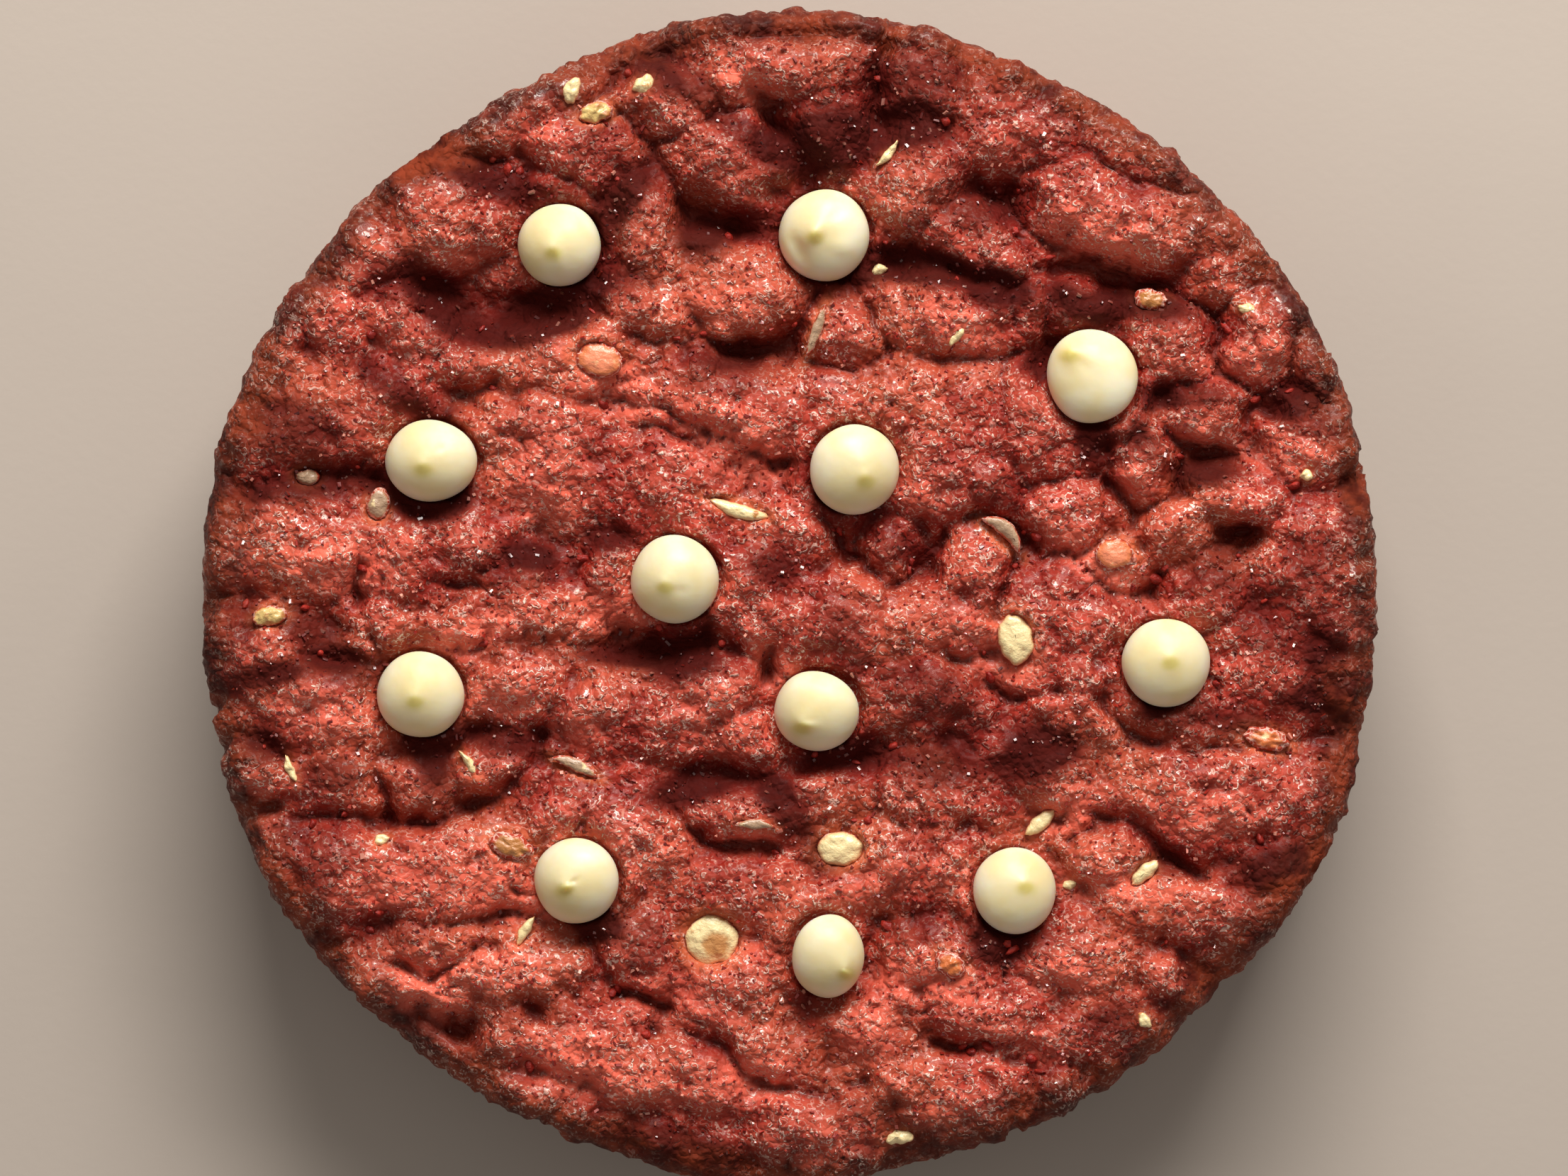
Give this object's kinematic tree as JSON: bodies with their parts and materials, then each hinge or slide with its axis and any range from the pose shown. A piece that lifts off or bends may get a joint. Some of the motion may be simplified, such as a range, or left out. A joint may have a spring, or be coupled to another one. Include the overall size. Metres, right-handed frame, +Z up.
{
  "type": "cookie pie",
  "caption": "Thick round red velvet cookie pie with a craggy, sugary top and white chocolate chips pressed into it.",
  "frame": {"origin": "middle of the flat base, on the surface that the pie stands on", "axes": "+Z up through the thickness; +X and +Y across the top, +Y towards the far edge of the picture"},
  "size_m": [0.15, 0.1504, 0.0333],
  "materials": {
    "red_crumb": "moist granular crumb with sugar crystals, browned at the rim, side and base",
    "white_chocolate": "smooth satin",
    "baked_cream": "waxy, half melted",
    "baked_caramel": "glossy, caramelised"
  },
  "bodies": {
    "root": {"dough": "red_crumb", "chip_north_west": "white_chocolate", "chip_north": "white_chocolate", "chip_north_east": "white_chocolate", "chip_west_upper": "white_chocolate", "chip_middle_upper": "white_chocolate", "chip_middle": "white_chocolate", "chip_west_lower": "white_chocolate", "chip_middle_lower": "white_chocolate", "chip_east": "white_chocolate", "chip_south_west": "white_chocolate", "chip_south_east": "white_chocolate", "chip_south": "white_chocolate", "baked_chip_large": "baked_cream", "baked_chip_cone": "baked_cream", "baked_chip_oval": "baked_cream", "baked_chip_crescent": "baked_cream", "baked_chip_blade": "baked_cream", "baked_chip_pale_oval": "baked_cream", "baked_chip_pale_dot": "baked_cream", "baked_chip_grey_sliver": "baked_cream", "baked_chip_south_sliver": "baked_cream", "baked_chip_wedge": "baked_cream", "baked_chip_west_sliver": "baked_cream", "baked_chip_edge": "baked_cream", "baked_chip_cavity": "baked_cream", "baked_chip_pair": "baked_cream", "baked_chip_amber": "baked_caramel", "baked_chip_blush": "baked_caramel", "baked_chip_dome": "baked_caramel", "baked_chip_yellow": "baked_caramel", "baked_chip_tan": "baked_caramel", "baked_chip_east": "baked_caramel", "baked_chip_crumbly": "baked_caramel"}
  },
  "joints": []
}
